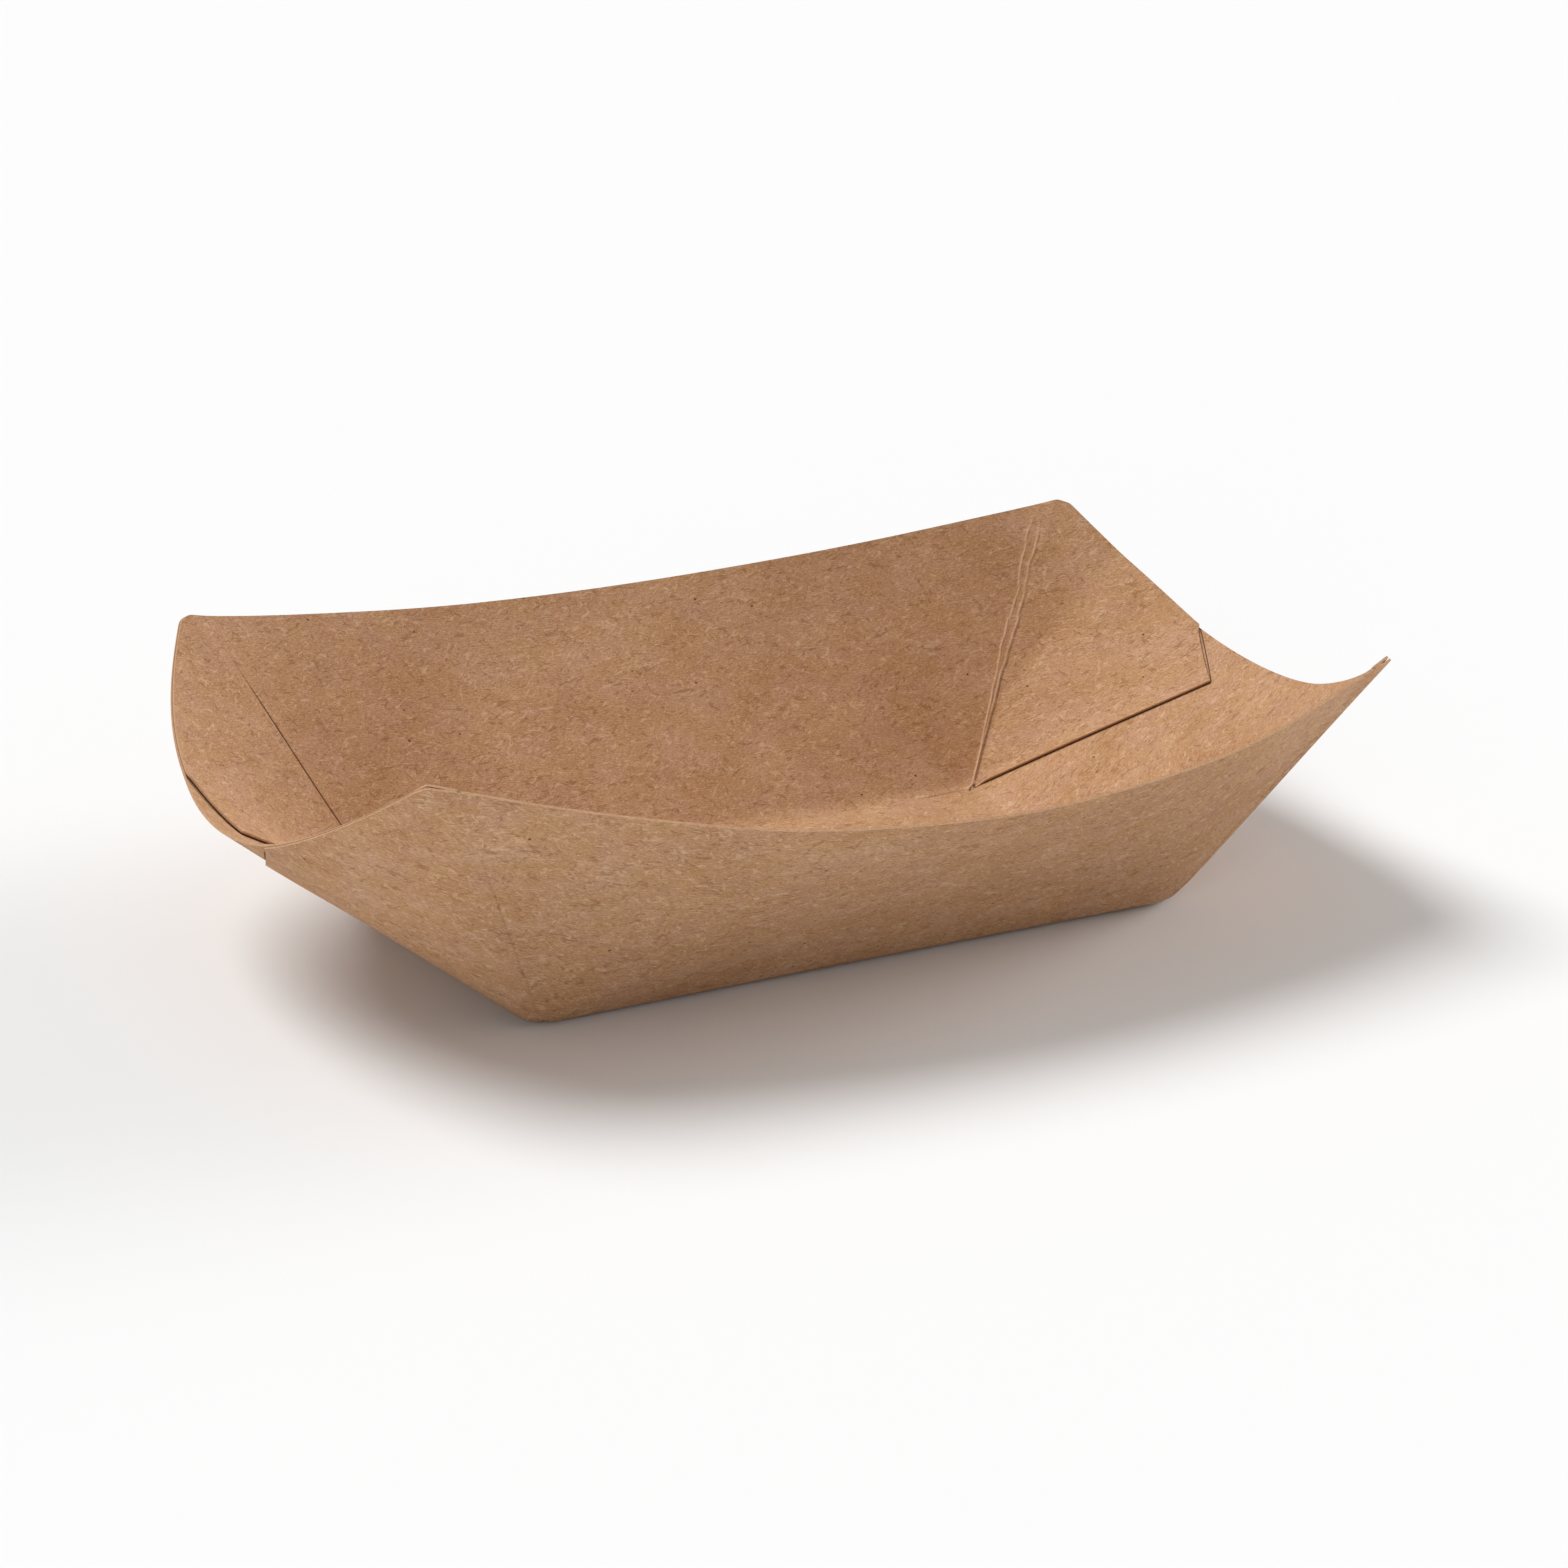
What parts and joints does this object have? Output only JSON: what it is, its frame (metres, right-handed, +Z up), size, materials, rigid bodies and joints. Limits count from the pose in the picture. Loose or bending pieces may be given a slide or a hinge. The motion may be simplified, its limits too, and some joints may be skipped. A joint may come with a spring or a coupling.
{
  "type": "paper food tray",
  "caption": "Boat-shaped food tray folded from one sheet of brown board, with flared walls, bowed rims and four glued corner flaps.",
  "frame": {"origin": "middle of the floor's underside, on the surface that the tray stands on", "axes": "+Z up, +X along the tray's length towards one end panel, +Y across it towards the wall whose flaps lie inside the end panels"},
  "size_m": [0.2166, 0.1342, 0.0527],
  "materials": {
    "brown_board": "uncoated brown fibre board, matt, with fine fibres and flecks"
  },
  "bodies": {
    "root": {"folded_tray": "brown_board"}
  },
  "joints": []
}
